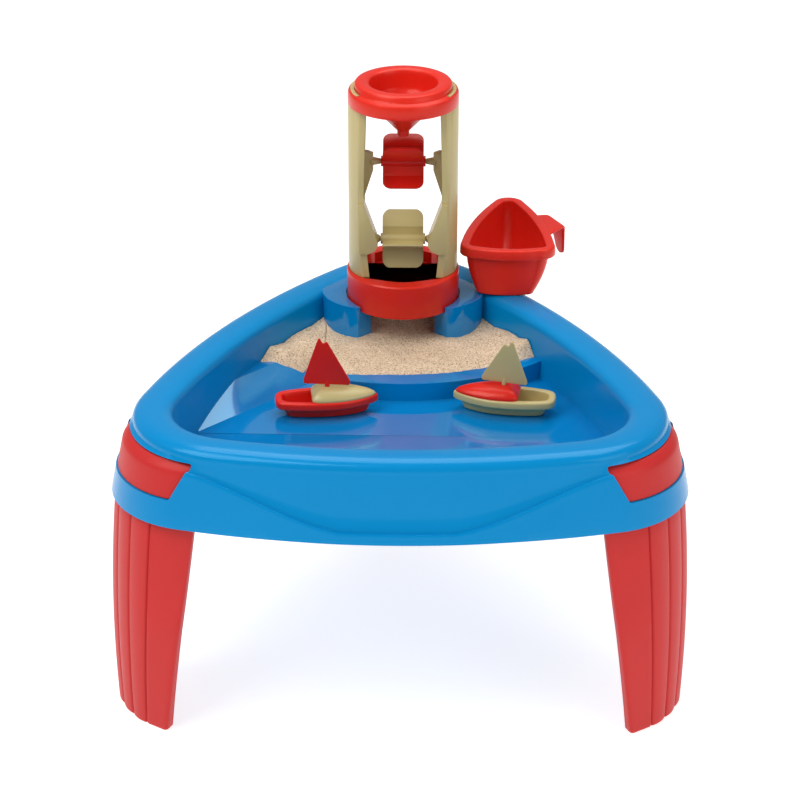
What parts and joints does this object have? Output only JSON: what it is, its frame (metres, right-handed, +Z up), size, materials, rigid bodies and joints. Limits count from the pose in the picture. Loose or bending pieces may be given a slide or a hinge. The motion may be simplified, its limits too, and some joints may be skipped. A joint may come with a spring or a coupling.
{
  "type": "sand and water play table",
  "caption": "Three-legged sand and water play table with a lift-off tower of funnel and sand wheels, a bucket and two toy sailboats",
  "frame": {"origin": "centre of the bounding box at the floor", "axes": "+Z up; the front of the table looks along -Y; +X to the right seen from the front"},
  "size_m": [0.7092, 0.6775, 0.6769],
  "materials": {
    "blue_plastic": "semi-gloss",
    "red_plastic": "semi-gloss",
    "leg_plastic": "satin",
    "beige_plastic": "semi-gloss",
    "play_sand": "matte"
  },
  "bodies": {
    "table": {"tray": "blue_plastic", "sand_fill": "play_sand", "leg_front_left": "leg_plastic", "leg_front_right": "leg_plastic", "leg_rear": "leg_plastic"},
    "tower": {"tower_base": "red_plastic", "sieve_grid": "red_plastic", "post_left": "beige_plastic", "post_right": "beige_plastic", "funnel_cap": "red_plastic"},
    "upper_wheel_body": {"upper_wheel": "red_plastic"},
    "lower_wheel_body": {"lower_wheel": "beige_plastic"},
    "bucket_body": {"bucket": "red_plastic"},
    "red_boat": {"red_boat_hull": "red_plastic", "red_boat_deck": "beige_plastic"},
    "red_sail": {"red_boat_sail": "red_plastic"},
    "beige_boat": {"beige_boat_hull": "beige_plastic", "beige_boat_deck": "red_plastic"},
    "beige_sail": {"beige_boat_sail": "beige_plastic"}
  },
  "joints": [
    {"name": "tower_lift", "type": "slide", "parent": "table", "child": "tower", "axis": [0, 0, 1], "range_m": [0, 0.12]},
    {"name": "upper_wheel_spin", "type": "hinge", "parent": "tower", "child": "upper_wheel_body", "pos_m": [0, 0.19145, 0.56], "axis": [1, 0, 0], "continuous": true},
    {"name": "lower_wheel_spin", "type": "hinge", "parent": "tower", "child": "lower_wheel_body", "pos_m": [0, 0.15545, 0.4664], "axis": [1, 0, 0], "continuous": true},
    {"name": "bucket_lift", "type": "slide", "parent": "table", "child": "bucket_body", "axis": [0, 0, 1], "range_m": [0, 0.15]},
    {"name": "red_boat_lift", "type": "slide", "parent": "table", "child": "red_boat", "axis": [0, 0, 1], "range_m": [0, 0.12]},
    {"name": "beige_boat_lift", "type": "slide", "parent": "table", "child": "beige_boat", "axis": [0, 0, 1], "range_m": [0, 0.12]},
    {"name": "red_sail_swivel", "type": "hinge", "parent": "red_boat", "child": "red_sail", "pos_m": [-0.09301, -0.04285, 0.349], "axis": [0, 0, 1], "continuous": true},
    {"name": "beige_sail_swivel", "type": "hinge", "parent": "beige_boat", "child": "beige_sail", "pos_m": [0.12901, -0.03481, 0.349], "axis": [0, 0, 1], "continuous": true}
  ]
}
